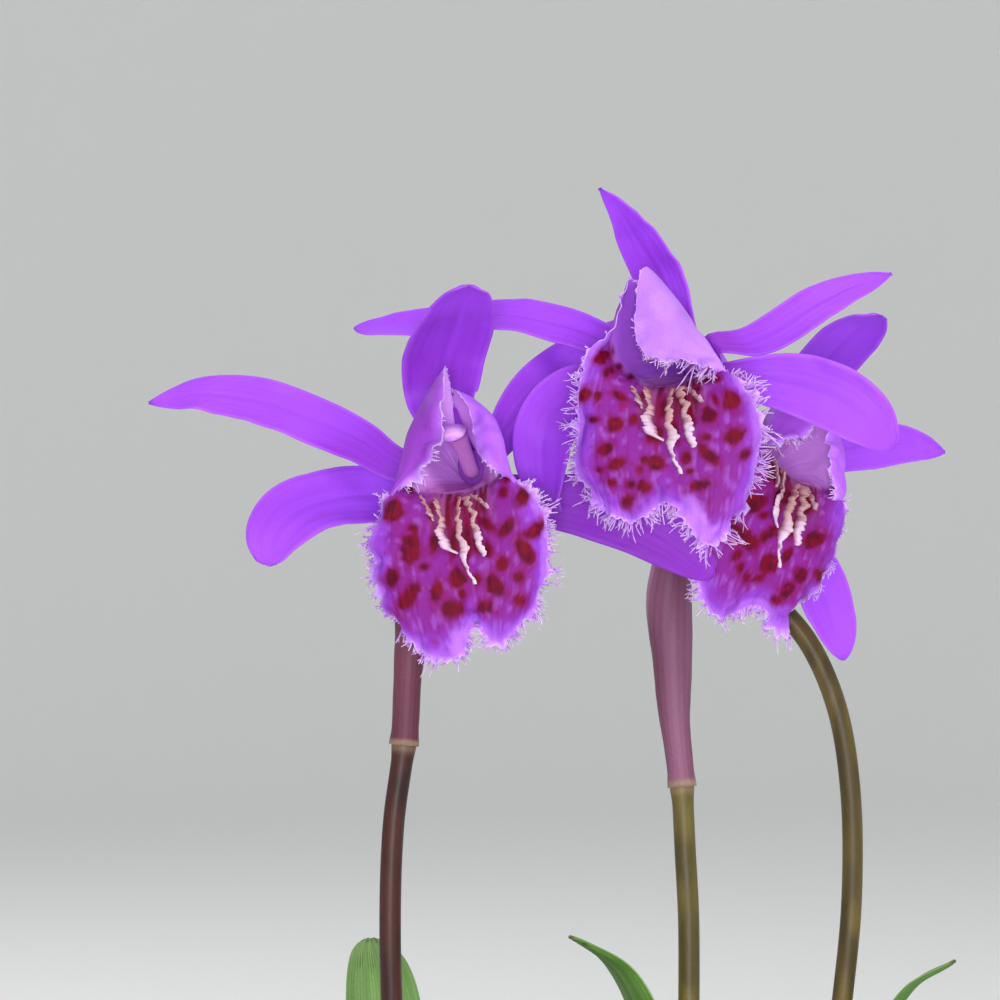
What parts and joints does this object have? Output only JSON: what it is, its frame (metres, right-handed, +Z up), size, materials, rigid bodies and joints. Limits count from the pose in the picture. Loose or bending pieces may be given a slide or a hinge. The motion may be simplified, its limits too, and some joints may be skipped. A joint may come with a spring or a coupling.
{
  "type": "potted orchid",
  "caption": "Flowering orchid with fringed, spotted lips on slender scapes, rising from pseudobulbs in bark mix in a shallow clay pot.",
  "frame": {"origin": "centre of the pot's flat underside, on the surface that it stands on", "axes": "+Z up along the pot's axis, -Y towards the side that the blooms face, +X to the right seen from there"},
  "size_m": [0.1352, 0.132, 0.2344],
  "materials": {
    "clay": "matt, unglazed, faint lime bloom",
    "mix": "rough, damp bark chips with some moss",
    "pseudobulb": "satin, shallow grooves, papery remains at the foot",
    "sheath": "dry, papery, fine ribs",
    "leaf": "satin, pleated along its length",
    "scape": "satin, olive-brown to maroon",
    "bract": "satin, thin, mauve with fine veins",
    "tepal": "soft satin, thin, lets light through, fine veins",
    "lip": "soft satin, crimson blotches, white keels, pale fringe",
    "column": "waxy satin, pale mauve"
  },
  "bodies": {
    "root": {"pot": "clay", "potting_mix": "mix", "a_pseudobulb": "pseudobulb", "a_shoot_sheath": "sheath", "a_leaf": "leaf", "a_scape": "scape", "a_bract": "bract", "a_dorsal_sepal": "tepal", "a_petal_left": "tepal", "a_petal_right": "tepal", "a_lateral_sepal_left": "tepal", "a_lateral_sepal_right": "tepal", "a_lip": "lip", "a_column": "column", "b_pseudobulb": "pseudobulb", "b_shoot_sheath": "sheath", "b_leaf": "leaf", "b_scape": "scape", "b_bract": "bract", "b_dorsal_sepal": "tepal", "b_petal_left": "tepal", "b_petal_right": "tepal", "b_lateral_sepal_left": "tepal", "b_lateral_sepal_right": "tepal", "b_lip": "lip", "b_column": "column", "c_pseudobulb": "pseudobulb", "c_shoot_sheath": "sheath", "c_leaf": "leaf", "c_scape": "scape", "c_bract": "bract", "c_dorsal_sepal": "tepal", "c_petal_left": "tepal", "c_petal_right": "tepal", "c_lateral_sepal_left": "tepal", "c_lateral_sepal_right": "tepal", "c_lip": "lip", "c_column": "column"}
  },
  "joints": []
}
